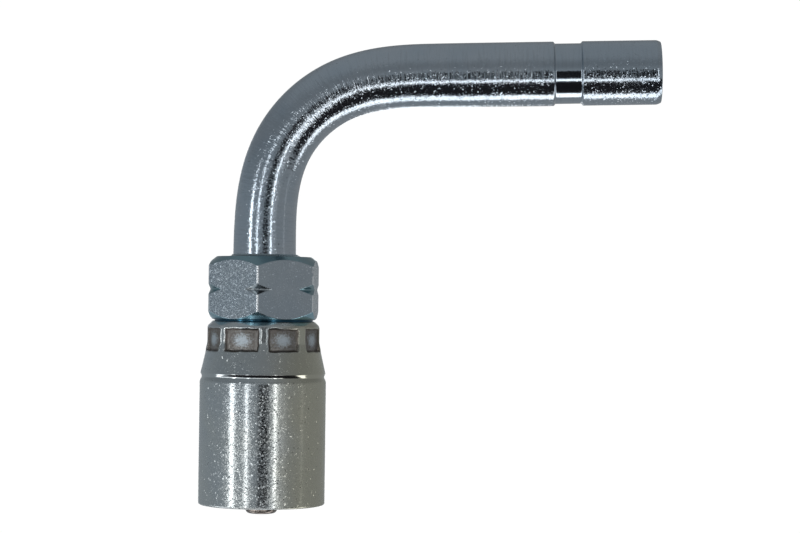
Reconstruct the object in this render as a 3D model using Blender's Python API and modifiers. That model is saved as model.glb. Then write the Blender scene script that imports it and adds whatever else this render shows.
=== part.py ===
# Crimp-on hose end: a staked crimp shell on a barbed nipple with its own hexagon,
# and a 90 degree standpipe tube brazed into the hexagon.
# Frame: origin at the centre of the shell's mouth, +Z along the hose axis towards
# the bend, +X towards the free end of the tube. Sizes are in millimetres and are
# turned into metres where the geometry is made.
import math

import bmesh
import bpy
from mathutils import Matrix

NAME = "hydraulic_hose_end"
MM = 0.001

FIT_GAP = 0.3            # clearance left between two pieces that meet
TURN_STEPS = 48          # flats round a turned piece

# crimp shell, heights measured down from its top edge
SHELL_OD = 25.0
SHELL_LENGTH = 36.25
SHELL_WALL = 2.2         # body wall at the roots of the inner teeth
MOUTH_ROUND = 0.35       # outer corner at the mouth
MOUTH_LEAD_IN = 1.0      # inner chamfer at the mouth
NECK_OD = 22.0
NECK_WALL = 2.4
NECK_LENGTH = 4.25
NECK_CHAMFER = 0.9
CONE_LENGTH = 5.8
STEP_WIDTH = 1.0         # shallow turned step under the cone
STEP_DEPTH = 0.32
STEP_CHAMFER = 0.8
WEB_DEPTH = 7.55         # from the top edge to the underside of the collar web
TOOTH_DEPTH = 0.65
TOOTH_PITCH = 4.4
TOOTH_CREST = 0.8        # width of a tooth at its crest

# stake dents pressed into the neck
DENT_COUNT = 8
DENT_CLOCK = 4.4         # angle of one rib past the -Y direction, degrees
DENT_DEPTH = 0.6
DENT_RIB = 1.4           # rib left between two dents, at their floors
DENT_TOP = 1.35          # from the shell's top edge
DENT_HEIGHT = 4.3

# nipple and its hexagon
HEX_AF = 20.64           # 13/16 in across the flats
HEX_HEIGHT = 12.45
HEX_CLOCK = -0.8         # angle of one corner past the -Y direction, degrees
HEX_TOP_INSET = 0.92     # top face circle inside the flats
HEX_TOP_CHAMFER = 1.95   # height of the top chamfer at a corner
HEX_BASE_INSET = 0.17
HEX_BASE_CHAMFER = 1.7
NOTCH_HEIGHT = 5.95      # middle of the V notch above the hexagon's base
NOTCH_WIDTH = 2.12       # at a corner
NOTCH_OVER_FLAT = 0.43   # notch floor outside the flats
COLLAR_DEPTH = 7.25      # collar, down from the shell's top edge
STAKE_TOP = 1.85         # staking groove, down from the shell's top edge
STAKE_WIDTH = 3.4
STAKE_DEPTH = 0.9
TAIL_OD = 9.8            # over the barbs
TAIL_BORE = 4.4
BARB_DEPTH = 0.45
BARB_PITCH = 4.0
NOSE_REACH = 1.75        # nose below the shell's mouth
NOSE_TAPER = 4.8         # length of the tapered lead-in
NOSE_OD = 6.3            # where the taper ends
NOSE_ROUND = 0.9         # rounding of the nose's edge
NOSE_LIP = 0.1           # flat left round the bore

# standpipe tube
TUBE_OD = 12.7           # 1/2 in tube
TUBE_WALL = 1.65
SOCKET_DEPTH = 6.3       # in the hexagon
LEG_ABOVE_HEX = 1.15     # straight tube before the bend
BEND_ANGLE = 88.66
BEND_RADIUS = 24.3       # on the centre line, where the bend is tightest
BEND_EASE = 20.0         # length over which the curvature builds up, and dies away
STRAIGHT_LEG = 43.5
BEND_SQUEEZE = 0.06      # share of its diameter that the tube loses in the bend
SQUEEZE_REACH = 22.8     # length over which the squeeze fades
SQUEEZE_ANGLE = 30.0     # where along the bend it is strongest
GROOVE_FROM_TIP = 15.4
GROOVE_WIDTH = 5.7
GROOVE_DEPTH = 0.4
GROOVE_SHOULDER = 0.55
TIP_CHAMFER = 0.35
TIP_CHAMFER_LENGTH = 0.8
TUBE_SIDES = 32
BEND_STATIONS = 24

# braze fillet round the tube, in a countersink of the hexagon's top face
BRAZE_SINK = 0.9
BRAZE_HEIGHT = 0.5       # above the hexagon
BRAZE_CREST = 0.15       # width of the fillet at its top edge

# heights and radii that follow from the sizes above
HEX_BASE = SHELL_LENGTH + FIT_GAP
HEX_TOP = HEX_BASE + HEX_HEIGHT
HEX_CORNER = HEX_AF / math.sqrt(3)
NECK_BORE = NECK_OD / 2 - NECK_WALL
COLLAR = NECK_BORE - FIT_GAP
STAKE_FLOOR = COLLAR - STAKE_DEPTH
SHELL_BORE = SHELL_OD / 2 - SHELL_WALL
WEB_UNDERSIDE = SHELL_LENGTH - WEB_DEPTH
SOCKET_FLOOR = HEX_TOP - SOCKET_DEPTH
SOCKET_BORE = TUBE_OD / 2 + FIT_GAP
TUBE_BORE = TUBE_OD / 2 - TUBE_WALL


def clearScene():
    for old in list(bpy.data.objects):
        bpy.data.objects.remove(old, do_unlink=True)


def newCollection(name):
    collection = bpy.data.collections.new(name)
    bpy.context.scene.collection.children.link(collection)
    return collection


def metal(name, colour, roughness, metallic=1.0):
    material = bpy.data.materials.new(name)
    material.use_nodes = True
    shader = material.node_tree.nodes["Principled BSDF"]
    shader.inputs["Base Color"].default_value = (*colour, 1.0)
    shader.inputs["Roughness"].default_value = roughness
    shader.inputs["Metallic"].default_value = metallic
    material.diffuse_color = (*colour, 1.0)
    return material


def turned(name, outline, collection, material=None):
    """A closed outline of (radius, height) turned round Z, outer side first, top down."""
    mesh = bpy.data.meshes.new(name)
    points = [(radius * MM, 0.0, height * MM) for radius, height in outline]
    edges = [(i, (i + 1) % len(points)) for i in range(len(points))]
    mesh.from_pydata(points, edges, [])
    piece = bpy.data.objects.new(name, mesh)
    collection.objects.link(piece)
    screw = piece.modifiers.new("Turning", "SCREW")
    screw.axis = "Z"
    screw.angle = math.tau
    screw.steps = TURN_STEPS
    screw.render_steps = TURN_STEPS
    screw.use_merge_vertices = True
    screw.merge_threshold = 0.00001
    if material:
        mesh.materials.append(material)
    return piece


def asCutter(piece):
    piece.hide_render = True
    piece.display_type = "WIRE"
    return piece


def combine(piece, other, operation):
    boolean = piece.modifiers.new(operation.title(), "BOOLEAN")
    boolean.operation = operation
    boolean.solver = "EXACT"
    boolean.object = other


def tooth(base, crest, bottom, top, flat):
    """One ring tooth on an outline that runs upwards: out to its crest and back."""
    return [(base, bottom), (crest, (bottom + top - flat) / 2),
            (crest, (bottom + top + flat) / 2), (base, top)]


def repeats(bottom, top, pitch):
    """Lower ends of as many pitches as fit between two heights, centred in them."""
    count = int((top - bottom) // pitch)
    start = bottom + (top - bottom - count * pitch) / 2
    return [start + i * pitch for i in range(count)]


def makeShell(parts, cutters):
    body = SHELL_OD / 2
    neck = NECK_OD / 2
    coneTop = SHELL_LENGTH - NECK_LENGTH
    coneBase = coneTop - CONE_LENGTH
    stepBase = coneBase - STEP_WIDTH
    outline = [
        (neck - NECK_CHAMFER, SHELL_LENGTH),
        (neck, SHELL_LENGTH - NECK_CHAMFER),
        (neck, coneTop),
        (body - STEP_DEPTH / 2, coneBase),
        (body - STEP_DEPTH, coneBase - STEP_WIDTH / 5),
        (body - STEP_DEPTH, stepBase),
        (body, stepBase - STEP_CHAMFER),
        (body, MOUTH_ROUND),
        (body - MOUTH_ROUND, 0.0),
        (SHELL_BORE + MOUTH_LEAD_IN, 0.0),
        (SHELL_BORE, MOUTH_LEAD_IN),
    ]
    for low in repeats(2 * MOUTH_LEAD_IN, coneBase, TOOTH_PITCH):
        outline += tooth(SHELL_BORE, SHELL_BORE - TOOTH_DEPTH,
                         low + TOOTH_PITCH / 4, low + TOOTH_PITCH * 3 / 4, TOOTH_CREST)
    lipTop = SHELL_LENGTH - STAKE_TOP - FIT_GAP
    lipBase = SHELL_LENGTH - STAKE_TOP - STAKE_WIDTH + FIT_GAP
    lip = STAKE_FLOOR + FIT_GAP
    outline += [
        (SHELL_BORE, WEB_UNDERSIDE),
        (NECK_BORE, WEB_UNDERSIDE),
        (NECK_BORE, lipBase),
        (lip, lipBase),
        (lip, lipTop),
        (NECK_BORE, lipTop),
        (NECK_BORE, SHELL_LENGTH),
    ]
    zinc = metal("zinc_shell", (0.40, 0.42, 0.42), 0.34)
    shell = turned("crimp_shell", outline, parts, zinc)

    # flat-floored dents, one box for each, all in one cutter
    floor = neck - DENT_DEPTH
    reach = SHELL_OD / 2
    width = 2 * floor * math.tan(math.pi / DENT_COUNT) - DENT_RIB
    mesh = bmesh.new()
    for i in range(DENT_COUNT):
        angle = math.radians(-90 + DENT_CLOCK) + math.tau * (i + 0.5) / DENT_COUNT
        size = Matrix.Diagonal((reach * MM, width * MM, DENT_HEIGHT * MM, 1.0))
        place = Matrix.Translation((
            (floor + reach / 2) * MM, 0.0,
            (SHELL_LENGTH - DENT_TOP - DENT_HEIGHT / 2) * MM))
        bmesh.ops.create_cube(
            mesh, size=1.0, matrix=Matrix.Rotation(angle, 4, "Z") @ place @ size)
    dents = bpy.data.objects.new("dent_cutter", bpy.data.meshes.new("dent_cutter"))
    mesh.to_mesh(dents.data)
    mesh.free()
    cutters.objects.link(asCutter(dents))
    combine(shell, dents, "DIFFERENCE")
    return shell


def makeNipple(parts, cutters):
    # the blank stands a little outside the hexagon's corners, and the bar trims it
    blank = HEX_CORNER + FIT_GAP
    flat = HEX_AF / 2
    topFace = flat - HEX_TOP_INSET
    baseFace = flat - HEX_BASE_INSET
    topSlope = HEX_TOP_CHAMFER / (HEX_CORNER - topFace)
    baseSlope = HEX_BASE_CHAMFER / (HEX_CORNER - baseFace)
    notchFloor = flat + NOTCH_OVER_FLAT
    notchHalf = NOTCH_WIDTH / 2 * (blank - notchFloor) / (HEX_CORNER - notchFloor)
    notchMiddle = HEX_BASE + NOTCH_HEIGHT
    tail = TAIL_OD / 2
    root = tail - BARB_DEPTH
    collarBase = SHELL_LENGTH - COLLAR_DEPTH
    taperTop = NOSE_TAPER - NOSE_ROUND
    outline = [
        (SOCKET_BORE + BRAZE_SINK, HEX_TOP),
        (topFace, HEX_TOP),
        (blank, HEX_TOP - topSlope * (blank - topFace)),
        (blank, notchMiddle + notchHalf),
        (notchFloor, notchMiddle),
        (blank, notchMiddle - notchHalf),
        (blank, HEX_BASE + baseSlope * (blank - baseFace)),
        (baseFace, HEX_BASE),
        (COLLAR, HEX_BASE),
        (COLLAR, SHELL_LENGTH - STAKE_TOP),
        (STAKE_FLOOR, SHELL_LENGTH - STAKE_TOP),
        (STAKE_FLOOR, SHELL_LENGTH - STAKE_TOP - STAKE_WIDTH),
        (COLLAR, SHELL_LENGTH - STAKE_TOP - STAKE_WIDTH),
        (COLLAR, collarBase),
        (root, collarBase),
    ]
    # barbs rise slowly towards the collar and drop straight back to the root
    for low in reversed(repeats(taperTop, collarBase - BARB_PITCH / 2, BARB_PITCH)):
        outline += [(root, low + BARB_PITCH * 0.95), (tail, low + BARB_PITCH * 0.85),
                    (tail, low + BARB_PITCH * 0.65), (root, low + BARB_PITCH * 0.05)]
    outline.append((root, taperTop))
    outline.append((NOSE_OD / 2, NOSE_ROUND - NOSE_REACH))
    lip = TAIL_BORE / 2 + NOSE_LIP
    for i in range(1, 5):
        turn = math.radians(90 * i / 4)
        outline.append((lip + (NOSE_OD / 2 - lip) * math.cos(turn),
                        NOSE_ROUND * (1 - math.sin(turn)) - NOSE_REACH))
    outline += [
        (TAIL_BORE / 2, -NOSE_REACH),
        (TAIL_BORE / 2, SOCKET_FLOOR - (TUBE_BORE - TAIL_BORE / 2)),
        (TUBE_BORE, SOCKET_FLOOR),
        (SOCKET_BORE, SOCKET_FLOOR),
        (SOCKET_BORE, HEX_TOP - BRAZE_SINK),
    ]
    zinc = metal("zinc_nipple", (0.42, 0.44, 0.46), 0.30)
    nipple = turned("hose_nipple", outline, parts, zinc)

    bpy.ops.mesh.primitive_cylinder_add(
        vertices=6, radius=HEX_CORNER * MM, depth=2 * (HEX_TOP + NOSE_REACH) * MM,
        location=(0.0, 0.0, SHELL_LENGTH * MM),
        rotation=(0.0, 0.0, math.radians(HEX_CLOCK)))
    bar = bpy.context.object
    bar.name = "hex_bar"
    for collection in list(bar.users_collection):
        collection.objects.unlink(bar)
    cutters.objects.link(asCutter(bar))
    combine(nipple, bar, "INTERSECT")
    return nipple


def tubePath():
    """Points on the centre line, with the direction angle from +Z at each."""
    turn = math.radians(BEND_ANGLE)
    full = turn * BEND_RADIUS - BEND_EASE      # length at full curvature
    length = full + 2 * BEND_EASE
    x, z, angle = 0.0, HEX_TOP + LEG_ABOVE_HEX, 0.0
    path = [(0.0, SOCKET_FLOOR + FIT_GAP, 0.0), (x, z, angle)]
    fine = 20                                   # small steps inside each station
    step = length / (BEND_STATIONS * fine)
    for i in range(BEND_STATIONS * fine):
        at = (i + 0.5) * step
        bend = min(1.0, at / BEND_EASE, (length - at) / BEND_EASE) / BEND_RADIUS
        angle += bend * step / 2
        x += math.sin(angle) * step
        z += math.cos(angle) * step
        angle += bend * step / 2
        if (i + 1) % fine == 0:
            path.append((x, z, angle))
    return path


def tubeStations():
    """Centre line stations as (x, z, radius): the route to the end of the bend, and the end leg."""
    path = tubePath()
    radius = TUBE_OD / 2
    lengths = [0.0]
    for (x0, z0, _), (x1, z1, _) in zip(path, path[1:]):
        lengths.append(lengths[-1] + math.hypot(x1 - x0, z1 - z0))
    tightest = next(s for s, p in zip(lengths, path) if p[2] >= math.radians(SQUEEZE_ANGLE))
    route = []
    for s, (x, z, _) in zip(lengths, path):
        squeeze = BEND_SQUEEZE * math.exp(-((s - tightest) / SQUEEZE_REACH) ** 2)
        route.append((x, z, radius * (1 - squeeze)))
    grooveEnd = STRAIGHT_LEG - GROOVE_FROM_TIP
    grooveStart = grooveEnd - GROOVE_WIDTH
    leg = []
    for along, size in (
            (grooveStart / 3, radius),
            (grooveStart, radius),
            (grooveStart + GROOVE_SHOULDER, radius - GROOVE_DEPTH),
            (grooveEnd - GROOVE_SHOULDER, radius - GROOVE_DEPTH),
            (grooveEnd, radius),
            (STRAIGHT_LEG - TIP_CHAMFER_LENGTH, radius),
            (STRAIGHT_LEG, radius - TIP_CHAMFER)):
        leg.append((*alongLeg(path[-1], along), size))
    return route, leg


def alongLeg(bendEnd, distance):
    """A point of the straight leg, at a distance from the end of the bend."""
    x, z, angle = bendEnd
    return x + math.sin(angle) * distance, z + math.cos(angle) * distance


def sweptMesh(name, stations, collection):
    """A round rod through the stations, made as a bevelled curve and then a mesh."""
    curve = bpy.data.curves.new(name, "CURVE")
    curve.dimensions = "3D"
    curve.bevel_depth = MM
    curve.bevel_resolution = (TUBE_SIDES - 4) // 2
    curve.use_fill_caps = True
    spline = curve.splines.new("POLY")
    spline.points.add(len(stations) - 1)
    for point, (x, z, radius) in zip(spline.points, stations):
        point.co = (x * MM, 0.0, z * MM, 1.0)
        point.radius = radius
    guide = bpy.data.objects.new(name + "_route", curve)
    collection.objects.link(guide)
    graph = bpy.context.evaluated_depsgraph_get()
    mesh = bpy.data.meshes.new_from_object(guide.evaluated_get(graph))
    mesh.name = name
    welded = bmesh.new()
    welded.from_mesh(mesh)
    bmesh.ops.remove_doubles(welded, verts=welded.verts, dist=0.000001)
    welded.to_mesh(mesh)
    welded.free()
    rod = bpy.data.objects.new(name, mesh)
    rod.matrix_world = guide.matrix_world
    collection.objects.link(rod)
    bpy.data.objects.remove(guide, do_unlink=True)
    return rod


def makeTube(parts, cutters):
    route, leg = tubeStations()
    tube = sweptMesh("bent_tube", route + leg, parts)
    tube.data.materials.clear()
    tube.data.materials.append(metal("zinc_tube", (0.42, 0.45, 0.47), 0.30))

    # the bore follows the same line and runs out past both ends
    startX, startZ, startRadius = route[0]
    bore = [(startX, startZ - TUBE_WALL, startRadius - TUBE_WALL)]
    bore += [(x, z, radius - TUBE_WALL) for x, z, radius in route[1:]]
    bore.append((*alongLeg(tubePath()[-1], STRAIGHT_LEG + TUBE_WALL), TUBE_BORE))
    core = sweptMesh("tube_bore", bore, cutters)
    asCutter(core)
    combine(tube, core, "DIFFERENCE")
    return tube


def makeBraze(parts):
    # its outer side keeps parallel to the countersink, FIT_GAP away
    base = HEX_TOP - BRAZE_SINK + FIT_GAP * math.sqrt(2)
    outline = [
        (SOCKET_BORE + BRAZE_CREST, HEX_TOP + BRAZE_HEIGHT),
        (SOCKET_BORE + HEX_TOP - base, HEX_TOP),
        (SOCKET_BORE, base),
        (SOCKET_BORE, HEX_TOP + BRAZE_HEIGHT),
    ]
    return turned("braze_fillet", outline, parts, metal("braze_alloy", (0.47, 0.45, 0.40), 0.38))


def smooth(piece):
    piece.data.shade_smooth()
    piece.data.set_sharp_from_angle(angle=math.radians(25))


clearScene()
partCollection = newCollection(NAME)
cutterCollection = newCollection("cutters")
root = bpy.data.objects.new("hose_end_frame", None)
partCollection.objects.link(root)
for part in (makeShell(partCollection, cutterCollection),
             makeNipple(partCollection, cutterCollection),
             makeTube(partCollection, cutterCollection),
             makeBraze(partCollection)):
    smooth(part)
    part.parent = root
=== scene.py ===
# Hydraulic hose end: the looks of the crimp shell, the nipple with its hexagon, the bent
# standpipe tube and the braze round it. Sizes are in millimetres until a mesh is made.
import math

import bpy
import numpy as np
from mathutils import Matrix, Vector


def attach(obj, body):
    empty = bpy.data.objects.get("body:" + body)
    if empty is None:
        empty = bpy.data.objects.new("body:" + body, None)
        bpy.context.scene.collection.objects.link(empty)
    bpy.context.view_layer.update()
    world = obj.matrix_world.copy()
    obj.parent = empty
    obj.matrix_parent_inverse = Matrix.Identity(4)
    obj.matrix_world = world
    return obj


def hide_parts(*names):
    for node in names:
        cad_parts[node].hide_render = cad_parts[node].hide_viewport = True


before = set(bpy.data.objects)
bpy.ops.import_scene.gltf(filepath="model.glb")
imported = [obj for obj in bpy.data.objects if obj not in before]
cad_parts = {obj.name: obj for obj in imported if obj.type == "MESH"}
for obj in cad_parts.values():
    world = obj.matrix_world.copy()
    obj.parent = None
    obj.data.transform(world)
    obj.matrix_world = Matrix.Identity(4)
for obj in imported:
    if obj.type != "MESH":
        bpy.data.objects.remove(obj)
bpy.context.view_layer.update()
print("frame loaded:", sorted(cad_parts))

mm = 0.001                # in metres
shellTop = 36.25          # the shell's top edge above its mouth
hexBase = 36.55
hexTop = 49.0


# shader maths as plain sums

class Value:
    def __init__(self, graph, socket):
        self.graph, self.socket = graph, socket

    def maths(self, operation, first, second):
        return self.graph.node("ShaderNodeMath", {"operation": operation},
                               {0: first, 1: second})

    def __add__(self, other):
        return self.maths("ADD", self, other)

    def __radd__(self, other):
        return self.maths("ADD", other, self)

    def __sub__(self, other):
        return self.maths("SUBTRACT", self, other)

    def __rsub__(self, other):
        return self.maths("SUBTRACT", other, self)

    def __mul__(self, other):
        return self.maths("MULTIPLY", self, other)

    def __rmul__(self, other):
        return self.maths("MULTIPLY", other, self)

    def __pow__(self, other):
        return self.maths("POWER", self, other)


class Graph:
    def __init__(self, tree):
        self.tree = tree
        tree.nodes.clear()

    def node(self, kind, settings=None, values=None, output=0):
        made = self.tree.nodes.new(kind)
        for name, setting in (settings or {}).items():
            setattr(made, name, setting)
        for name, value in (values or {}).items():
            if isinstance(value, Value):
                self.tree.links.new(value.socket, made.inputs[name])
            else:
                made.inputs[name].default_value = value
        return Value(self, made.outputs[output] if made.outputs else None)

    def step(self, value, low, high):        # 0 before low, 1 past high, smooth between
        return self.node("ShaderNodeMapRange", {"interpolation_type": "SMOOTHSTEP"},
                         {"Value": value, "From Min": low, "From Max": high})

    def rise(self, distance, places):        # the same, with the two places in mm
        return self.step(distance, places[0] * mm, places[1] * mm)

    def mix(self, share, first, second):
        return self.node("ShaderNodeMix", {"data_type": "RGBA"},
                         {0: share, 6: first, 7: second}, output=2)

    def noise(self, place, scale, detail=2.0, roughness=0.5):
        return self.node("ShaderNodeTexNoise", None,
                         {"Vector": place, "Scale": scale, "Detail": detail,
                          "Roughness": roughness})

    def mark(self, name):                    # a number kept at each point of a mesh
        return self.node("ShaderNodeAttribute", {"attribute_name": name}, output=2)

    def part(self, place, axis):             # 0, 1 or 2 for x, y or z
        return self.node("ShaderNodeSeparateXYZ", None, {"Vector": place}, output=axis)

    def vector(self, operation, first, second):
        return self.node("ShaderNodeVectorMath", {"operation": operation},
                         {0: first, 1: second})


def tint(red, green, blue):                  # a screen colour, 0 to 255, as light
    part = [v / 255 for v in (red, green, blue)]
    return (*[p / 12.92 if p < 0.04 else ((p + 0.055) / 1.055) ** 2.4 for p in part], 1.0)


# outlines and the skins that are turned or swept from them

def bell(value, width):
    return np.exp(-(value / width) ** 2)


def roundedOutline(outline, columns=1, arc=4, support=0.05):
    # closed outline of (radius, height, rounding, cuts to the next point), outer side
    # first, top down; a radius or height may differ from column to column
    points = np.stack([np.stack([np.broadcast_to(np.asarray(value, float), columns)
                                 for value in entry[:2]], -1) for entry in outline])
    onwards = np.roll(points, -1, axis=0) - points
    span = np.linalg.norm(onwards, axis=-1)
    onwards /= span[..., None]
    rows, count = [], len(outline)
    # a rounding takes at most 0.45 of an edge, and a support row stays close to it
    trims = [np.minimum(entry[2], 0.45 * np.minimum(span[i - 1], span[i]))
             for i, entry in enumerate(outline)]
    for i, entry in enumerate(outline):
        point, trim = points[i], trims[i][:, None]
        if entry[2] > 0:
            start, end = point - onwards[i - 1] * trim, point + onwards[i] * trim
            for t in np.linspace(0, 1, arc + 1):
                rows.append(start * (1 - t) ** 2 + point * 2 * t * (1 - t) + end * t ** 2)
        else:
            end = point
            rows.append(point)
        after = (i + 1) % count
        room = span[i] - trims[i] - trims[after]
        cuts = entry[3] if len(entry) > 3 else 1
        edge = np.minimum(support / room, 0.3 / cuts)
        shares = [edge] if entry[2] > 0 else []
        shares += [np.full(columns, j / cuts) for j in range(1, cuts)]
        shares += [1 - edge] if outline[after][2] > 0 else []
        for share in shares:
            rows.append(end + onwards[i] * (room * share)[:, None])
    return np.array(rows)


def crowded(low, high, count, places):
    # count steps from low to high, closer together round the places (where, width, gain)
    fine = np.linspace(low, high, 6001)
    density = np.ones_like(fine)
    for where, width, gain in places:
        density += gain * bell(fine - where, width)
    total = np.cumsum(density) - density[0]
    return np.interp(np.linspace(0, total[-1], count + 1)[:-1], total, fine)


def smoothRise(value, low, high):
    share = np.clip((value - low) / (high - low), 0, 1)
    return share * share * (3 - 2 * share)


def ringPiece(name, points, material, marks=None):
    # rows of closed rings, the last row joined to the first, as one watertight skin
    rows, columns = points.shape[:2]
    index = np.arange(rows * columns).reshape(rows, columns)
    right, down = np.roll(index, -1, axis=1), np.roll(index, -1, axis=0)
    corner = np.roll(right, -1, axis=0)
    faces = np.stack((index, down, corner, right), -1).reshape(-1, 4)
    mesh = bpy.data.meshes.new(name)
    mesh.from_pydata((points.reshape(-1, 3) * mm).tolist(), [], faces.tolist())
    mesh.shade_smooth()
    mesh.materials.append(material)
    for mark, values in (marks or {}).items():
        layer = mesh.attributes.new(mark, "FLOAT", "POINT")
        layer.data.foreach_set("value", np.ascontiguousarray(values, np.float32).ravel())
    piece = bpy.data.objects.new(name, mesh)
    bpy.context.scene.collection.objects.link(piece)
    print(name, "has", len(mesh.polygons), "faces")
    return piece


def turnedPoints(outline, angles):
    radius, height = outline[..., 0], outline[..., 1]
    return np.stack((radius * np.cos(angles), radius * np.sin(angles), height), -1)


def standsFor(piece, node):
    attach(piece, "root")
    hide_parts(node)


# crimp shell

shellSizes = {
    "body": 12.5, "bore": 10.3, "mouthRound": 0.35, "mouthLeadIn": 1.0,
    "neck": 11.0, "neckBore": 8.6, "neckLength": 4.25, "neckChamfer": 0.9,
    "coneLength": 6.05, "coneFoot": 12.39, "step": 12.12, "stepWidth": 0.75,
    # small fillet under the cone's foot, as (radius past the step, depth below the foot)
    "stepFillet": ((0.18, 0.18), (0.10, 0.36), (0.03, 0.56), (0.0, 0.70)),
    "stepChamfer": 0.8, "webDepth": 7.55, "lip": 7.7, "lipTop": 34.1, "lipBase": 31.3,
    "toothDepth": 0.65, "toothPitch": 4.4, "toothCrest": 0.8,
    "dents": 8, "columns": 66,    # columns for each dent, closer round its two sides
    "dentSides": (18.6, 2.4, 4), "dentClock": 4.4, "dentFloor": 10.4, "dentRib": 1.3,
    "dentTop": 1.35, "dentHeight": 4.6,
    "dentRows": 0.35,         # the closer rows end this far below the dents
    "dentCorner": 0.3,
    "dentBow": 0.3,           # how much further in the floor lies at its two sides
    "dentWall": 0.34,         # width of the sloping wall round the floor
    # how wide the painted shade on the dent walls is, and where and how wide the painted
    # highlight line inside them runs
    "wallDark": 0.15, "insetPlace": 0.28, "insetWidth": 0.13, "middleSize": (1.9, 1.35),
    "dentWidths": (0.87, 0.96, 1.0, 0.94, 0.98, 0.92, 0.97, 1.0),   # staked unevenly
    "dentWander": 0.045,      # how far its edge wanders
    "dentSkin": 10.2,         # only skin further out than this is pressed in
    "burr": 0.075, "burrPlace": 0.2, "burrWidth": 0.11,   # raised edge left by the staking
    "burrSkin": 10.6,
}

shellLooks = {
    "tint": tint(198, 202, 201), "second": tint(190, 196, 199),
    "olive": tint(192, 190, 172), "dentTint": tint(127, 122, 117),
    # after the floor's pale middle comes the dark brown painted shade for the dent walls
    "floorTint": tint(192, 201, 207), "wallShadeTint": tint(84, 75, 69),
    # a paler painted highlight line inside the dent walls
    "insetHighlightTint": tint(154, 152, 149),
    "roughness": 0.11, "gloss": 0.06,
    "grain": 0.22, "grainHeight": 0.003, "swell": 0.002, "dull": 0.16,
    # crystal size, how far the steepest lean, how rare those are
    "facets": [(0.22, 0.50, 4.5), (0.24, 0.03, 0.7)],
    # pairs are where something starts and where it is full, in millimetres
    "oliveSide": (1.0, 9.5), "oliveShare": 0.9, "oliveWander": 6.0,
    "floorGrain": 3000.0, "floorSpeckle": 1.8, "floorPale": 1.1,
    "insetGrain": 900.0, "insetShare": 0.3, "insetMore": 0.6,
    "wallShadeShare": 0.85, "dentRoughness": 0.24, "dentFacets": 0.7,
    "ringFoot": (24.7, 25.0), "ringTop": (26.2, 26.5), "ringSmooth": 0.8,
    "coneFoot": (26.0, 26.8), "coneSmooth": 0.35,
    "neckFoot": (30.5, 32.0), "neckSmooth": 0.55, "neckRoughness": 0.12,
}


def pressDents(radius, height, angle, width):
    # angle is measured from the middle of the nearest dent
    s = shellSizes
    half = (s["dentFloor"] * math.tan(math.pi / s["dents"]) - s["dentRib"] / 2) * width
    tall = s["dentHeight"] / 2
    middle = shellTop - s["dentTop"] - tall
    across = radius * np.sin(angle)
    overX = np.abs(across) - (half - s["dentCorner"])
    overZ = np.abs(height - middle) - (tall - s["dentCorner"])
    edge = (np.hypot(np.maximum(overX, 0), np.maximum(overZ, 0))
            + np.minimum(np.maximum(overX, overZ), 0) - s["dentCorner"])
    # two slow waves, different for each width of dent
    edge += s["dentWander"] * (np.sin(across * 2.3 + width * 90)
                               + np.sin(height * 2.9 + width * 50 + np.sign(across)))
    floor = (s["dentFloor"] - s["dentBow"] * (across / half) ** 2) / np.cos(angle)
    pressed = 1 - smoothRise(edge, -s["dentWall"], 0.02)
    burr = s["burr"] * bell(edge - s["burrPlace"], s["burrWidth"])
    burr *= smoothRise(height, middle - tall - 0.1, middle - tall + 0.6)
    # painted shade: a dark band down the dent walls
    wall = bell(edge + s["dentWall"] * 0.45, s["wallDark"])
    # painted highlight: a paler line just inside the walls, fading towards the top
    insetHighlight = bell(edge + s["dentWall"] + s["insetPlace"], s["insetWidth"])
    insetHighlight *= 1 - smoothRise(height, middle + tall * 0.5, middle + tall * 0.9)
    wide, high = s["middleSize"]
    inside = bell(across, wide) * bell(height - middle, high)
    pressed = np.where(radius > s["dentSkin"], pressed, 0)
    outer = radius > s["burrSkin"]
    return (radius - pressed * np.maximum(radius - floor, 0) + burr * outer,
            wall * outer, insetHighlight * outer, pressed, inside * pressed)


def shellOutline():
    s = shellSizes
    coneTop = shellTop - s["neckLength"]
    coneBase = coneTop - s["coneLength"]
    stepBase = coneBase - s["stepWidth"]
    # the rows are closer together down to just below the dents
    dentEnd = shellTop - s["dentTop"] - s["dentHeight"] - s["dentRows"]
    fall = (s["coneFoot"] - s["neck"]) / s["coneLength"]
    outline = [
        (s["neck"] - s["neckChamfer"], shellTop, 0.14, 3),
        (s["neck"], shellTop - s["neckChamfer"], 0.18, 34),
        (s["neck"], coneTop, 0.3, 15),
        (s["neck"] + fall * (coneTop - dentEnd), dentEnd, 0, 10),
        (s["coneFoot"], coneBase, 0.04, 1),
        *[(s["step"] + past, coneBase - depth, 0.06, 1) for past, depth in s["stepFillet"]],
        (s["body"], stepBase - s["stepChamfer"], 0.3, 16),
        (s["body"], s["mouthRound"] * 0.6, 0.3, 1),
        (s["body"] - s["mouthRound"], 0.0, 0.1, 2),
        (s["bore"] + s["mouthLeadIn"], 0.0, 0.08, 2),
        (s["bore"], s["mouthLeadIn"], 0.1, 1),
    ]
    low = 2 * s["mouthLeadIn"]
    count = int((coneBase - low) // s["toothPitch"])
    low += (coneBase - low - count * s["toothPitch"]) / 2
    crest = s["bore"] - s["toothDepth"]
    for i in range(count):                   # ring teeth that hold the hose
        foot, top = low + s["toothPitch"] * 0.25, low + s["toothPitch"] * 0.75
        flat = s["toothCrest"] / 2
        middle = (foot + top) / 2
        outline += [(s["bore"], foot, 0.12), (crest, middle - flat, 0.1),
                    (crest, middle + flat, 0.1), (s["bore"], top, 0.12)]
        low += s["toothPitch"]
    web = shellTop - s["webDepth"]
    outline += [
        (s["bore"], web, 0.3, 2), (s["neckBore"], web, 0.15, 2),
        (s["neckBore"], s["lipBase"], 0.1), (s["lip"], s["lipBase"], 0.1, 2),
        (s["lip"], s["lipTop"], 0.1), (s["neckBore"], s["lipTop"], 0.1, 2),
        (s["neckBore"], shellTop, 0.12, 2),
    ]
    return outline


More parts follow.
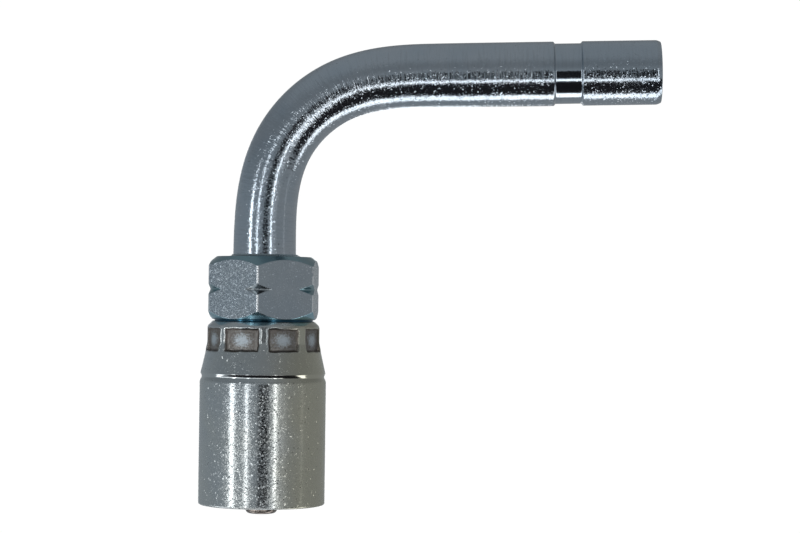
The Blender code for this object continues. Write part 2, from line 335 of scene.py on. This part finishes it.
def facets(g, place, looks, share):
    # small zinc crystals, each tipped its own way, a few of them steeply
    normal = g.node("ShaderNodeNewGeometry", output=1)
    dull = 0.0
    for size, lean, rarity in looks["facets"]:
        shift = g.vector("ADD", place, (0.01 * size, 0.02 * size, 0.0))
        pick = g.node("ShaderNodeTexVoronoi", None,
                      {"Vector": shift, "Scale": 1 / (size * mm)}, output=1)
        lucky = g.node("ShaderNodeTexWhiteNoise", None, {"Vector": pick})
        lucky = lucky * lucky
        dull = lucky * looks["dull"] + dull
        tip = g.vector("SUBTRACT", pick, (0.5, 0.5, 0.5))
        tip = g.node("ShaderNodeVectorMath", {"operation": "SCALE"},
                     {0: tip, "Scale": lucky ** rarity * share * (2 * lean)})
        normal = g.vector("ADD", normal, tip)
    return g.node("ShaderNodeVectorMath", {"operation": "NORMALIZE"}, {0: normal}), dull


zincLooks = {"cloudScale": 90.0, "pitScale": 330.0, "pitSize": (0.025, 0.05),
             "pitTint": tint(78, 66, 58), "pitShare": 0.75}


def zinc(name, looks, extras=None):
    # blue-clear zinc: a clouded tint, a fine orange peel that sparkles, uneven gloss
    material = bpy.data.materials.new(name)
    material.use_nodes = True
    g = Graph(material.node_tree)
    place = g.node("ShaderNodeTexCoord", output=3)
    cloud = g.noise(place, zincLooks["cloudScale"], 3.0)
    colour = g.mix(g.step(cloud, 0.35, 0.65), looks["tint"], looks["second"])
    cell = 1 / (looks["grain"] * mm)
    grain = g.noise(place, cell, 2.5, 0.6)
    swell = g.noise(place, cell * 0.28, 1.0)
    height = grain * looks["grainHeight"] + swell * looks["swell"]
    gloss = looks["roughness"] + (g.noise(place, cell * 0.5, 2.0) - 0.5) * looks["gloss"]
    shade = {"colour": colour, "height": height, "roughness": gloss, "facets": 1.0}
    if extras:
        extras(g, place, shade, looks)
    pit = g.node("ShaderNodeTexVoronoi", None,
                 {"Vector": place, "Scale": zincLooks["pitScale"]})
    pit = 1 - g.step(pit, *zincLooks["pitSize"])
    shade["colour"] = g.mix(pit * zincLooks["pitShare"], shade["colour"],
                            zincLooks["pitTint"])
    tipped, dull = facets(g, place, looks, shade["facets"])
    bump = g.node("ShaderNodeBump", None, {
        "Height": shade["height"], "Distance": mm, "Normal": tipped})
    shader = g.node("ShaderNodeBsdfPrincipled", None, {
        "Base Color": shade["colour"], "Metallic": 1.0,
        "Roughness": shade["roughness"] + dull * shade["facets"],
        "Normal": bump})
    g.node("ShaderNodeOutputMaterial", None, {"Surface": shader})
    return material


def shellExtras(g, place, shade, looks):
    # an olive cast on one side
    wander = (g.noise(place, 120.0) - 0.5) * (looks["oliveWander"] * mm)
    warm = g.rise(g.part(place, 0) + wander, looks["oliveSide"])
    colour = g.mix(warm * looks["oliveShare"], shade["colour"], looks["olive"])
    # dents: a pale middle in a brown floor, a paler line of painted highlight inside the
    # walls, and dark painted shade on the walls
    dent = g.mark("pressed")
    speckle = (g.noise(place, looks["floorGrain"], 2.0, 0.75) - 0.5) * looks["floorSpeckle"]
    rub = g.mark("floorMiddle") * looks["floorPale"] + speckle
    floor = g.mix(g.step(rub, 0.1, 1.0), looks["dentTint"], looks["floorTint"])
    colour = g.mix(dent, colour, floor)
    # the painted highlight line, broken up by noise
    broken = g.step(g.noise(place, looks["insetGrain"], 3.0, 0.7), 0.35, 0.65)
    insetHighlight = g.mark("insetHighlight") * (looks["insetShare"] + broken * looks["insetMore"])
    colour = g.mix(insetHighlight, colour, looks["insetHighlightTint"])
    # painted shade darkens the dent walls
    shade["colour"] = g.mix(g.mark("wall") * looks["wallShadeShare"], colour, looks["wallShadeTint"])
    # the turned ring is smoother, the cone a little, and the neck is duller
    height = g.part(place, 2)
    ring = g.rise(height, looks["ringFoot"]) * (1 - g.rise(height, looks["ringTop"]))
    neck = g.rise(height, looks["neckFoot"])
    cone = g.rise(height, looks["coneFoot"])
    plain = 1 - cone * looks["coneSmooth"] - neck * looks["neckSmooth"]
    shade["facets"] = plain * (1 - ring) + dent * looks["dentFacets"]
    shade["roughness"] = (shade["roughness"] + dent * looks["dentRoughness"]
                          + neck * looks["neckRoughness"])
    shade["height"] = shade["height"] * (1 - ring * looks["ringSmooth"])


def makeShell():
    s = shellSizes
    sector = 360 / s["dents"]
    side, width, gain = s["dentSides"]
    turn = crowded(-sector / 2, sector / 2, s["columns"],
                   [(-side, width, gain), (side, width, gain)])
    angles, fromDent, widths = [], [], []
    for i in range(s["dents"]):
        angles.append(-90 + s["dentClock"] + sector * (i + 0.5) + turn)
        fromDent.append(turn)
        widths.append(np.full(len(turn), s["dentWidths"][i % len(s["dentWidths"])]))
    angles = np.radians(np.concatenate(angles))
    fromDent = np.radians(np.concatenate(fromDent))
    skin = roundedOutline(shellOutline(), len(angles), arc=3)
    radius, wall, insetHighlight, pressed, inside = pressDents(
        skin[..., 0], skin[..., 1], fromDent, np.concatenate(widths))
    skin[..., 0] = radius
    shell = ringPiece("crimpShellSkin", turnedPoints(skin, angles),
                      zinc("blueZincShell", shellLooks, shellExtras),
                      {"wall": wall, "insetHighlight": insetHighlight, "pressed": pressed,
                       "floorMiddle": inside})
    standsFor(shell, "crimp_shell")


makeShell()


# nipple: hexagon, collar and barbed tail in one

nippleSizes = {
    "flat": 10.32, "clock": -0.8, "cornerRound": 0.28,
    "topInset": 0.92, "topChamfer": 1.95, "baseInset": 0.17, "baseChamfer": 1.7,
    "notchHeight": 5.95, "notchWidth": 2.12, "notchOverFlat": 0.40,
    "socketBore": 6.65, "socketFloor": 42.7, "sink": 0.9,
    "shoulder": 9.75, "shoulderGap": 0.03, "collar": 8.3, "collarBase": 29.0,
    "stakeFloor": 7.4, "stakeTop": 34.4, "stakeBase": 31.0,
    "tail": 4.9, "root": 4.45, "bore": 2.2, "tubeBore": 4.7,
    "barbPitch": 4.0, "noseReach": 1.75, "noseTaper": 4.8, "nose": 3.15,
    "noseRound": 0.9, "noseLip": 0.1,
    "columns": 56,            # columns for each flat, closer round corners and notch ends
    "cornerRows": (0.7, 12), "notchRows": (1.2, 1.5),
    "cutDepth": 0.012,        # skin this far inside the hexagon was turned
    "cornerHighlightWidth": 0.95,        # degrees each side of a corner that get a painted highlight
}

nippleLooks = {
    "tint": tint(172, 181, 188), "second": tint(164, 175, 184),
    # the dark navy after the turned colour is painted shade in the gap between the hexagon and
    # the shell
    "turnedTint": tint(132, 160, 168), "gapShadeTint": tint(46, 84, 104),
    # near-white painted highlight along the hexagon's corners
    "baseTint": tint(150, 190, 205), "cornerHighlightTint": tint(238, 242, 245),
    "notchTint": tint(165, 172, 176), "noseTint": tint(140, 132, 126),
    "roughness": 0.22, "gloss": 0.10,
    "grain": 0.20, "grainHeight": 0.008, "swell": 0.004, "dull": 0.14,
    "facets": [(0.17, 0.40, 1.9)],
    # pairs are where something starts and where it is full, in millimetres
    "tailTop": (30.0, 32.0), "noseTop": (0.0, 1.0), "gapShadeTop": (36.6, 36.9),
    "baseTop": (39.0, 40.0), "notchTop": (44.0, 45.0), "notchSides": (5.0, 7.5),
    "cornerHighlightGrain": 1400.0, "turnedSmooth": 0.8, "turnedFacets": 0.9, "turnedShine": 0.06,
    "flatShare": (0.35, 1.0, 0.5, 0.7, 0.6, 1.0),   # crystals on each flat in turn
}


def hexRadius(fromFlat):
    s = nippleSizes
    fromCorner = math.radians(30) - np.abs(fromFlat)
    bead = s["cornerRound"]
    centre = (s["flat"] - bead) / math.cos(math.radians(30))
    arc = centre * np.cos(fromCorner) + np.sqrt(
        np.maximum(bead ** 2 - (centre * np.sin(fromCorner)) ** 2, 0))
    meets = math.atan2(bead / 2, centre + bead * math.cos(math.radians(30)))
    return np.where(fromCorner < meets, arc, s["flat"] / np.cos(fromFlat))


def nippleOutline(hexagon):
    s = nippleSizes
    corner = s["flat"] / math.cos(math.radians(30))
    topFace, baseFace = s["flat"] - s["topInset"], s["flat"] - s["baseInset"]
    topEdge = hexTop - s["topChamfer"] * (hexagon - topFace) / (corner - topFace)
    baseEdge = hexBase + s["baseChamfer"] * (hexagon - baseFace) / (corner - baseFace)
    notchFloor = s["flat"] + s["notchOverFlat"]
    notch = hexBase + s["notchHeight"]
    depth = np.maximum(hexagon - notchFloor, 0) / (corner - notchFloor)
    half = np.maximum(s["notchWidth"] / 2 * depth ** 0.8, 0.08)
    shoulderBase = shellTop + s["shoulderGap"]
    outline = [
        (s["socketBore"] + s["sink"], hexTop, 0.06, 4),
        (topFace, hexTop, 0.08, 10),
        (hexagon, topEdge, 0.07, 14),
        (hexagon, notch + half, 0.06, 6),
        (np.minimum(hexagon, notchFloor), notch, 0.30, 6),
        (hexagon, notch - half, 0.06, 14),
        (hexagon, baseEdge, 0.07, 8),
        (baseFace, hexBase, 0.08, 2),
        (s["shoulder"], hexBase, 0.04), (s["shoulder"], shoulderBase, 0.04, 2),
        (s["collar"], shoulderBase, 0.08, 1),
        (s["collar"], s["stakeTop"], 0.08), (s["stakeFloor"], s["stakeTop"], 0.08, 2),
        (s["stakeFloor"], s["stakeBase"], 0.08), (s["collar"], s["stakeBase"], 0.08),
        (s["collar"], s["collarBase"], 0.15), (s["root"], s["collarBase"], 0.15, 2),
    ]
    taperTop = s["noseTaper"] - s["noseRound"]
    span = s["collarBase"] - s["barbPitch"] / 2 - taperTop
    count = int(span // s["barbPitch"])
    first = taperTop + (span - count * s["barbPitch"]) / 2
    for i in reversed(range(count)):         # barbs that bite into the hose's liner
        low = first + i * s["barbPitch"]
        for radius, share in (("root", 0.95), ("tail", 0.85), ("tail", 0.65), ("root", 0.05)):
            outline.append((s[radius], low + s["barbPitch"] * share, 0.12))
    outline.append((s["root"], taperTop, 0.3, 2))
    lip = s["bore"] + s["noseLip"]
    outline.append((s["nose"], s["noseRound"] - s["noseReach"], 0.1))
    for turn in (22.5, 45.0, 67.5, 90.0):
        turn = math.radians(turn)
        outline.append((lip + (s["nose"] - lip) * math.cos(turn),
                        s["noseRound"] * (1 - math.sin(turn)) - s["noseReach"], 0.1))
    return outline + [
        (s["bore"], -s["noseReach"], 0.06, 4),
        (s["bore"], s["socketFloor"] - (s["tubeBore"] - s["bore"]), 0.2, 2),
        (s["tubeBore"], s["socketFloor"], 0.1), (s["socketBore"], s["socketFloor"], 0.1, 2),
        (s["socketBore"], hexTop - s["sink"], 0.1, 2),
    ]


def nippleExtras(g, place, shade, looks):
    height = g.part(place, 2)
    cut = g.mark("turned") * g.rise(height, looks["tailTop"])
    away = g.node("ShaderNodeMath", {"operation": "ABSOLUTE"}, {0: g.part(place, 0)})
    notch = g.mix(g.rise(away, looks["notchSides"]), looks["notchTint"],
                  looks["turnedTint"])
    turned = g.mix(g.rise(height, looks["baseTop"]), looks["baseTint"], notch)
    turned = g.mix(g.rise(height, looks["notchTop"]), turned, looks["turnedTint"])
    # painted shade: dark navy on the turned skin below the hexagon, in the gap above the shell
    turned = g.mix(g.rise(height, looks["gapShadeTop"]), looks["gapShadeTint"], turned)
    # painted highlight: near-white dashes along the hexagon's corners
    cornerHighlight = g.mark("cornerHighlight") * g.step(g.noise(place, looks["cornerHighlightGrain"]), 0.28, 0.42)
    colour = g.mix(cornerHighlight, shade["colour"], looks["cornerHighlightTint"])
    colour = g.mix(cut, colour, turned)
    shade["colour"] = g.mix(g.rise(height, looks["noseTop"]), looks["noseTint"], colour)
    shade["height"] = shade["height"] * (1 - cut * looks["turnedSmooth"])
    shade["facets"] = ((1 - cut * looks["turnedFacets"]) * (1 - cornerHighlight)
                       * g.mark("share"))
    shade["roughness"] = shade["roughness"] - cut * looks["turnedShine"]


def makeNipple():
    s = nippleSizes
    lensEnd = math.degrees(math.acos(s["flat"] / (s["flat"] + s["notchOverFlat"])))
    places = [(side * 30, *s["cornerRows"]) for side in (-1, 1)]
    places += [(side * lensEnd, *s["notchRows"]) for side in (-1, 1)]
    turn = crowded(-30, 30, s["columns"], places)
    angles = np.radians(np.concatenate(
        [s["clock"] - 90 + 30 + 60 * i + turn for i in range(6)]))
    hexagon = hexRadius(np.radians(np.tile(turn, 6)))
    skin = roundedOutline(nippleOutline(hexagon), len(angles), arc=3)
    cut = np.abs(skin[..., 0] - hexagon) > s["cutDepth"]
    # the hexagon's corners get the painted highlight
    corner = np.abs(np.abs(np.tile(turn, 6)) - 30) < s["cornerHighlightWidth"]
    share = np.repeat(nippleLooks["flatShare"], len(turn)) * np.ones(cut.shape)
    cornerHighlight = ~cut & corner & (skin[..., 1] > hexBase) & (skin[..., 1] < hexTop)
    nipple = ringPiece("hoseNippleSkin", turnedPoints(skin, angles),
                       zinc("blueZincNipple", nippleLooks, nippleExtras),
                       {"turned": cut, "cornerHighlight": cornerHighlight, "share": share})
    standsFor(nipple, "hose_nipple")


makeNipple()


# bent standpipe tube

tubeSizes = {
    "outside": 6.35, "bore": 4.7, "start": 43.0, "bendStart": 50.15,
    "angle": 88.66, "bendRadius": 24.3, "ease": 20.0, "leg": 43.5,
    "squeeze": 0.06, "squeezeAngle": 30.0, "squeezeReach": 22.8,
    "grooveFromTip": 15.4, "grooveWidth": 5.7, "grooveDepth": 0.4, "grooveShoulder": 0.32,
    "tipChamfer": 0.35, "tipChamferLength": 0.8, "columns": 144, "routeSteps": 4000,
}

tubeLooks = {
    "tint": tint(184, 192, 200), "second": tint(176, 187, 197),
    "lineTint": tint(150, 158, 164),
    "roughness": 0.09, "gloss": 0.05,
    "grain": 0.22, "grainHeight": 0.006, "swell": 0.002, "dull": 0.08,
    "facets": [(0.20, 0.28, 3.0), (0.24, 0.035, 0.6)],
    "lineHeight": 0.105,      # fine rings left by the polishing belt
    "lineTurn": 0.10,         # how short they are: 1 makes them as long as wide
    "lineScale": 2.2, "lineShare": 0.2, "patchScale": 130.0,
    "footLines": 0.3, "footRise": (12.0, 34.0),     # weaker at the foot, full past here
    "patchLines": 0.6,        # how strong they are in the weakest patches
    "endRise": 0.2,           # how soon the groove and the tip differ from the rest
    "grooveLines": 0.96, "tipLines": 0.4, "grooveGrain": 0.85, "grooveFacets": 0.9,
    "tipFacets": 0.2,
}


def tubeRoute():
    # centre line as arc length, x, z and direction from upright, in short steps
    s = tubeSizes
    full = math.radians(s["angle"]) * s["bendRadius"] - s["ease"]
    bend = full + 2 * s["ease"]
    count = s["routeSteps"]
    step = bend / count
    at = (np.arange(count) + 0.5) * step
    curve = np.minimum(1, np.minimum(at, bend - at) / s["ease"]) / s["bendRadius"]
    angle = np.concatenate(([0], np.cumsum(curve * step)))
    middle = (angle[1:] + angle[:-1]) / 2
    x = np.concatenate(([0], np.cumsum(np.sin(middle) * step)))
    z = s["bendStart"] + np.concatenate(([0], np.cumsum(np.cos(middle) * step)))
    rise = s["bendStart"] - s["start"]
    along = rise + np.arange(count + 1) * step
    last = angle[-1]
    return (np.concatenate(([0], along, [along[-1] + s["leg"]])),
            np.concatenate(([0], x, [x[-1] + math.sin(last) * s["leg"]])),
            np.concatenate(([s["start"]], z, [z[-1] + math.cos(last) * s["leg"]])),
            np.concatenate(([0], angle, [last])))


def tubeExtras(g, place, shade, looks):
    along = g.mark("along")                  # millimetres from the foot of the tube
    turn = looks["lineTurn"]
    line = g.node("ShaderNodeCombineXYZ", None, {
        0: along, 1: g.part(place, 1) * (turn / mm), 2: g.mark("out") * turn})
    rings = g.noise(line, looks["lineScale"], 2.0, 0.55)
    shade["colour"] = g.mix(g.step(rings, 0.45, 0.75) * looks["lineShare"],
                            shade["colour"], looks["lineTint"])
    patch = g.step(g.noise(place, looks["patchScale"], 1.0), 0.35, 0.6)
    patch = looks["patchLines"] + patch * (1 - looks["patchLines"])
    foot = g.step(along, *looks["footRise"])
    foot = looks["footLines"] + foot * (1 - looks["footLines"])
    end = tubeRoute()[0][-1] - tubeSizes["grooveFromTip"]
    start = end - tubeSizes["grooveWidth"]
    tip = g.step(along, end - looks["endRise"], end)
    groove = g.step(along, start, start + looks["endRise"]) * (1 - tip)
    rings = rings * (1 - groove * looks["grooveLines"]) * (1 - tip * looks["tipLines"])
    rings = rings * patch * foot * looks["lineHeight"]
    shade["height"] = shade["height"] * (1 - groove * looks["grooveGrain"]) + rings
    shade["facets"] = (1 - groove * looks["grooveFacets"]) * (1 + tip * looks["tipFacets"])


def makeTube():
    s = tubeSizes
    route = tubeRoute()
    end = route[0][-1]
    grooveTop = end - s["grooveFromTip"]
    grooveFoot = grooveTop - s["grooveWidth"]
    neck = s["outside"] - s["grooveDepth"]
    shoulder = s["grooveShoulder"]
    skin = roundedOutline([
        (s["outside"] - s["tipChamfer"], end, 0.15, 2),
        (s["outside"], end - s["tipChamferLength"], 0.3, 24),
        (s["outside"], grooveTop, 0.14, 1),
        (neck, grooveTop - shoulder, 0.14, 8),
        (neck, grooveFoot + shoulder, 0.14, 1),
        (s["outside"], grooveFoot, 0.14, 220),
        (s["outside"], 0.0, 0.1, 2),
        (s["bore"], 0.0, 0.1, 90),
        (s["bore"], end, 0.12, 2),
    ])[:, 0]
    radius, along = skin[:, :1], skin[:, 1:]
    x, z, angle = (np.interp(along, route[0], part) for part in route[1:])
    tightest = np.interp(math.radians(s["squeezeAngle"]), route[3][:-1], route[0][:-1])
    squeeze = s["squeeze"] * bell(along - tightest, s["squeezeReach"])
    turn = np.linspace(0, math.tau, s["columns"], endpoint=False)[None]
    out = radius * (1 - squeeze) * np.cos(turn)      # in the plane of the bend
    points = np.stack((x + out * np.cos(angle), radius * np.sin(turn),
                       z - out * np.sin(angle)), -1)
    tube = ringPiece("bentTubeSkin", points, zinc("blueZincTube", tubeLooks, tubeExtras),
                     {"along": np.broadcast_to(along, points.shape[:2]), "out": out})
    standsFor(tube, "bent_tube")


makeTube()


# braze fillet

brazeSizes = {"inner": 6.36, "foot": 7.42, "footHeight": 49.0, "base": 48.55,
              "top": 49.46, "uneven": 0.12, "ripple": 0.05, "columns": 240}

brazeLooks = {
    "tint": tint(150, 172, 182), "second": tint(160, 168, 168),
    "roughness": 0.26, "gloss": 0.10,
    "grain": 0.4, "grainHeight": 0.03, "swell": 0.02, "dull": 0.1,
    "facets": [(0.3, 0.2, 2.5)],
}


def makeBraze():
    s = brazeSizes
    angles = np.linspace(0, math.tau, s["columns"], endpoint=False)
    wave = s["uneven"] * np.cos(angles) + s["ripple"] * np.sin(3 * angles + 1)
    skin = roundedOutline([
        (s["inner"] + 0.1, s["top"] + wave * 0.2, 0.04, 2),
        (s["inner"] + 0.35 + wave, s["footHeight"] + 0.18, 0.25, 3),
        (s["foot"] + wave * 0.5, s["footHeight"] + 0.02, 0.04, 1),
        (s["foot"] - 0.3, s["footHeight"] - 0.25, 0.1, 1),
        (s["inner"] + 0.3, s["base"], 0.05, 1),
        (s["inner"], s["base"] + 0.1, 0.05, 2),
        (s["inner"], s["top"] - 0.05, 0.02, 1),
    ], len(angles), arc=3)
    braze = ringPiece("brazeRing", turnedPoints(skin, angles), zinc("platedBraze", brazeLooks))
    standsFor(braze, "braze_fillet")


makeBraze()
print("pieces made")


# pale floor that curves up into a backdrop all round

stageLooks = {"floor": -1.8, "flat": 1500.0, "curve": 900.0, "wall": 1500.0,
              "inner": (1.0, 200.0), "sides": 96, "turns": 12,
              "paint": (0.03, 0.03, 0.03, 1.0), "roughness": 0.9, "white": 1.0}


def makeStage():
    s = stageLooks
    radius = [*s["inner"], s["flat"]]
    height = [s["floor"]] * len(radius)
    for i in range(1, s["turns"] + 1):
        turn = math.radians(90 * i / s["turns"])
        radius.append(s["flat"] + s["curve"] * math.sin(turn))
        height.append(s["floor"] + s["curve"] * (1 - math.cos(turn)))
    radius.append(radius[-1])
    height.append(height[-1] + s["wall"])
    angles = np.linspace(0, math.tau, s["sides"], endpoint=False)
    skin = np.array([radius, height]).T[:, None, :] * np.ones((1, len(angles), 1))
    points = turnedPoints(skin, angles).reshape(-1, 3) * mm
    rows, columns = len(radius), len(angles)
    faces = [tuple(range(columns))]
    for i in range(rows - 1):
        for j in range(columns):
            k = (j + 1) % columns
            faces.append((i * columns + j, (i + 1) * columns + j,
                          (i + 1) * columns + k, i * columns + k))
    mesh = bpy.data.meshes.new("studioFloor")
    mesh.from_pydata(points.tolist(), [], faces)
    mesh.shade_smooth()
    material = bpy.data.materials.new("studioWhite")
    material.use_nodes = True
    g = Graph(material.node_tree)
    shader = g.node("ShaderNodeBsdfPrincipled", None, {
        "Base Color": s["paint"], "Roughness": s["roughness"],
        "Emission Color": (1.0, 1.0, 1.0, 1.0), "Emission Strength": s["white"]})
    g.node("ShaderNodeOutputMaterial", None, {"Surface": shader})
    mesh.materials.append(material)
    floor = bpy.data.objects.new("studioFloor", mesh)
    bpy.context.scene.collection.objects.link(floor)
    # the lights below and beyond the floor reach the metal through it
    floor.visible_glossy = floor.visible_diffuse = floor.visible_shadow = False


makeStage()


# camera, then soft strip lights placed by their direction from the camera's

cameraLooks = {"place": (44.4, -455.8, 41.67), "yaw": -2.2, "pitch": 0.72, "roll": 0.73,
               "lens": 103.77}

lightLooks = {"middle": (0.015, 0.0, 0.045), "distance": 1.0}     # in metres
panelLooks = {"size": (5.2, 0.39), "offset": (0.0, 0.125, -1.0), "strength": 1.9}

lightPlaces = [
    # name, direction round from the camera, lowest and highest angle, width, strength
    ("leftStrip", -57.0, -31.0, 10.0, 6.5, 4.0),
    ("leftThinStrip", -29.5, -31.0, 10.0, 4.5, 3.0),
    ("rightStrip", 22.0, -31.0, 10.0, 4.6, 3.2),
    ("rightWideStrip", 35.0, -31.0, 10.0, 14.0, 0.12),
    ("sideStrip", 76.0, -31.0, 10.0, 3.0, 0.25),
    ("backStrip", 175.0, -31.0, 10.0, 4.5, 1.5),
    ("backThinStrip", 191.0, -31.0, 10.0, 3.0, 1.2),
    ("lowBar", 0.0, -31.3, -24.0, 60.0, 2.0),
    ("lowBarLeft", -62.0, -31.3, -24.0, 62.0, 2.0),
    ("lowBarRight", 34.0, -31.3, -24.0, 8.0, 2.0),
]

worldLooks = {
    "right": tint(150, 153, 155), "left": tint(147, 154, 159),
    "dark": (0.012, 0.012, 0.014, 1.0),
    # the dark below and in front, which reaches higher on the right; each pair is where
    # a region starts and where it is full
    "below": (-0.62, -0.56), "front": (0.08, 0.16), "onRight": (0.5, 0.65), "higher": 0.25,
    # the dark round the camera
    "cameraLeft": (-0.16, -0.11), "cameraRight": (0.17, 0.22), "cameraSide": (0.5, 0.6),
    "cameraLow": (-0.40, -0.36), "cameraHigh": (0.05, 0.1),
    # a dimmer belt above
    "dim": 0.27, "dimFrom": (0.08, 0.4), "dimTo": (0.5, 0.9),
}


def makeCamera():
    c = cameraLooks
    yaw, pitch, roll = (math.radians(c[key]) for key in ("yaw", "pitch", "roll"))
    forward = Vector((math.sin(yaw) * math.cos(pitch), math.cos(yaw) * math.cos(pitch),
                      math.sin(pitch)))
    right = Vector((math.cos(yaw), -math.sin(yaw), 0.0))
    up = right.cross(forward)
    rightTilted = right * math.cos(roll) + up * math.sin(roll)
    upTilted = up * math.cos(roll) - right * math.sin(roll)
    camera = bpy.data.objects.new("studioCamera", bpy.data.cameras.new("studioCamera"))
    camera.data.lens = c["lens"]
    camera.data.clip_start, camera.data.clip_end = 0.01, 20.0
    turned = Matrix((rightTilted, upTilted, -forward)).transposed().to_4x4()
    camera.matrix_world = Matrix.Translation(Vector(c["place"]) * mm) @ turned
    bpy.context.scene.collection.objects.link(camera)
    bpy.context.scene.camera = camera


def softLight(name, width, height, strength, place, turn):
    data = bpy.data.lights.new(name, "AREA")
    data.shape = "RECTANGLE"
    data.size = width
    data.size_y = height
    data.energy = strength * data.size * data.size_y * math.pi
    light = bpy.data.objects.new(name, data)
    light.location = place
    light.rotation_euler = turn
    light.visible_camera = False
    bpy.context.scene.collection.objects.link(light)


def makeLights():
    middle = Vector(lightLooks["middle"])
    distance = lightLooks["distance"]
    front = math.atan2(cameraLooks["place"][1], cameraLooks["place"][0])
    for name, around, low, high, width, strength in lightPlaces:
        turn = front + math.radians(around)
        low, high = (distance * math.tan(math.radians(v)) for v in (low, high))
        place = middle + Vector((math.cos(turn), math.sin(turn), 0)) * distance
        place.z += (high + low) / 2
        inward = middle - place
        inward.z = 0
        softLight(name, 2 * distance * math.tan(math.radians(width / 2)), high - low,
                  strength, place, inward.to_track_quat("-Z", "Y").to_euler())
    softLight("underFloor", *panelLooks["size"], panelLooks["strength"],
              middle + Vector(panelLooks["offset"]), (math.pi, 0, 0))


def makeWorld():
    w = worldLooks
    world = bpy.data.worlds.new("studioRoom")
    bpy.context.scene.world = world
    world.use_nodes = True
    g = Graph(world.node_tree)
    look = g.node("ShaderNodeTexCoord")
    front = math.atan2(cameraLooks["place"][1], cameraLooks["place"][0])

    def towards(direction):
        return g.node("ShaderNodeVectorMath", {"operation": "DOT_PRODUCT"},
                      {0: look, 1: direction}, output=1)

    def region(value, start, end):
        return g.step(value, *start) * (1 - g.step(value, *end))

    ahead = towards((math.cos(front), math.sin(front), 0.0))
    aside = towards((-math.sin(front), math.cos(front), 0.0))
    up = towards((0.0, 0.0, 1.0))
    low = 1 - g.step(up - g.step(aside, *w["onRight"]) * w["higher"], *w["below"])
    dark = low * g.step(ahead, *w["front"])
    byCamera = (region(aside, w["cameraLeft"], w["cameraRight"])
                * g.step(ahead, *w["cameraSide"])
                * region(up, w["cameraLow"], w["cameraHigh"]))
    share = 1 - (1 - dark) * (1 - byCamera)
    grey = g.mix(g.step(aside, -0.8, 0.8), w["left"], w["right"])
    grey = g.mix(region(up, w["dimFrom"], w["dimTo"]) * w["dim"], grey, w["dark"])
    colour = g.mix(share, grey, w["dark"])
    surface = g.node("ShaderNodeBackground", None, {"Color": colour, "Strength": 1.0})
    g.node("ShaderNodeOutputWorld", None, {"Surface": surface})


makeCamera()
makeLights()
makeWorld()
bpy.context.scene.view_settings.view_transform = "Standard"
print("studio made")
